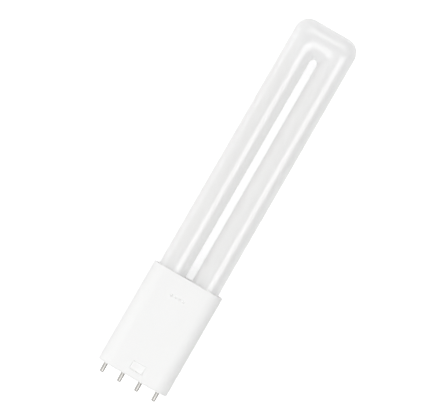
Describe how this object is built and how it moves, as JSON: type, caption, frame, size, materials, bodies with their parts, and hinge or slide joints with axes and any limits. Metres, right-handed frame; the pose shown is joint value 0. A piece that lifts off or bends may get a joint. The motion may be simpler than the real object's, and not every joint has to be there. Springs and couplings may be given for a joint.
{
  "type": "four pin compact lamp",
  "caption": "Plug-in four pin compact lamp with a frosted twin tube joined by a squared bend and a white housing that holds its driver.",
  "frame": {"origin": "middle of the row of four pins, on the housing's end face that the pins stand on", "axes": "+X along the lamp from the pins to the bend, +Y across the row of pins, +Z out of the front broad face"},
  "size_m": [0.229, 0.0432, 0.024],
  "materials": {
    "housing_plastic": "fine satin moulding, white",
    "holder_plastic": "matt white moulding",
    "frosted_glass": "opal white glass, glossy outside, not see-through",
    "nickel_plate": "nickel-plated, satin bright",
    "tinned_brass": "tinned, dull",
    "strip_aluminium": "white solder resist on aluminium",
    "led_phosphor": "yellow phosphor gel",
    "board_laminate": "green glass-fibre laminate",
    "capacitor_sleeve": "black shrink sleeve",
    "ferrite": "dark sintered ferrite",
    "bobbin_plastic": "black moulding",
    "winding_tape": "yellow insulating tape",
    "copper_wire": "enamelled copper wire",
    "chip_resin": "black moulding resin",
    "resistor_body": "pale green lacquer",
    "film_case": "yellow box",
    "varistor_coat": "blue resin coat"
  },
  "bodies": {
    "root": {"front_shell": "housing_plastic", "back_shell": "housing_plastic", "tube_holder": "holder_plastic", "twin_tube": "frosted_glass", "contact_pin_1": "nickel_plate", "contact_pin_2": "nickel_plate", "contact_pin_3": "nickel_plate", "contact_pin_4": "nickel_plate", "contact_tab_1": "tinned_brass", "contact_tab_2": "tinned_brass", "contact_tab_3": "tinned_brass", "contact_tab_4": "tinned_brass", "led_strip_left": "strip_aluminium", "led_strip_right": "strip_aluminium", "led_packages_left": "led_phosphor", "led_packages_right": "led_phosphor", "strip_tabs_left": "tinned_brass", "strip_tabs_right": "tinned_brass", "driver_board": "board_laminate", "bulk_capacitor": "capacitor_sleeve", "transformer_core": "ferrite", "transformer_bobbin": "bobbin_plastic", "transformer_winding": "winding_tape", "choke_core": "ferrite", "choke_winding": "copper_wire", "bridge_rectifier": "chip_resin", "controller_chip": "chip_resin", "fuse_resistors": "resistor_body", "film_capacitor": "film_case", "surge_varistor": "varistor_coat"}
  },
  "joints": []
}
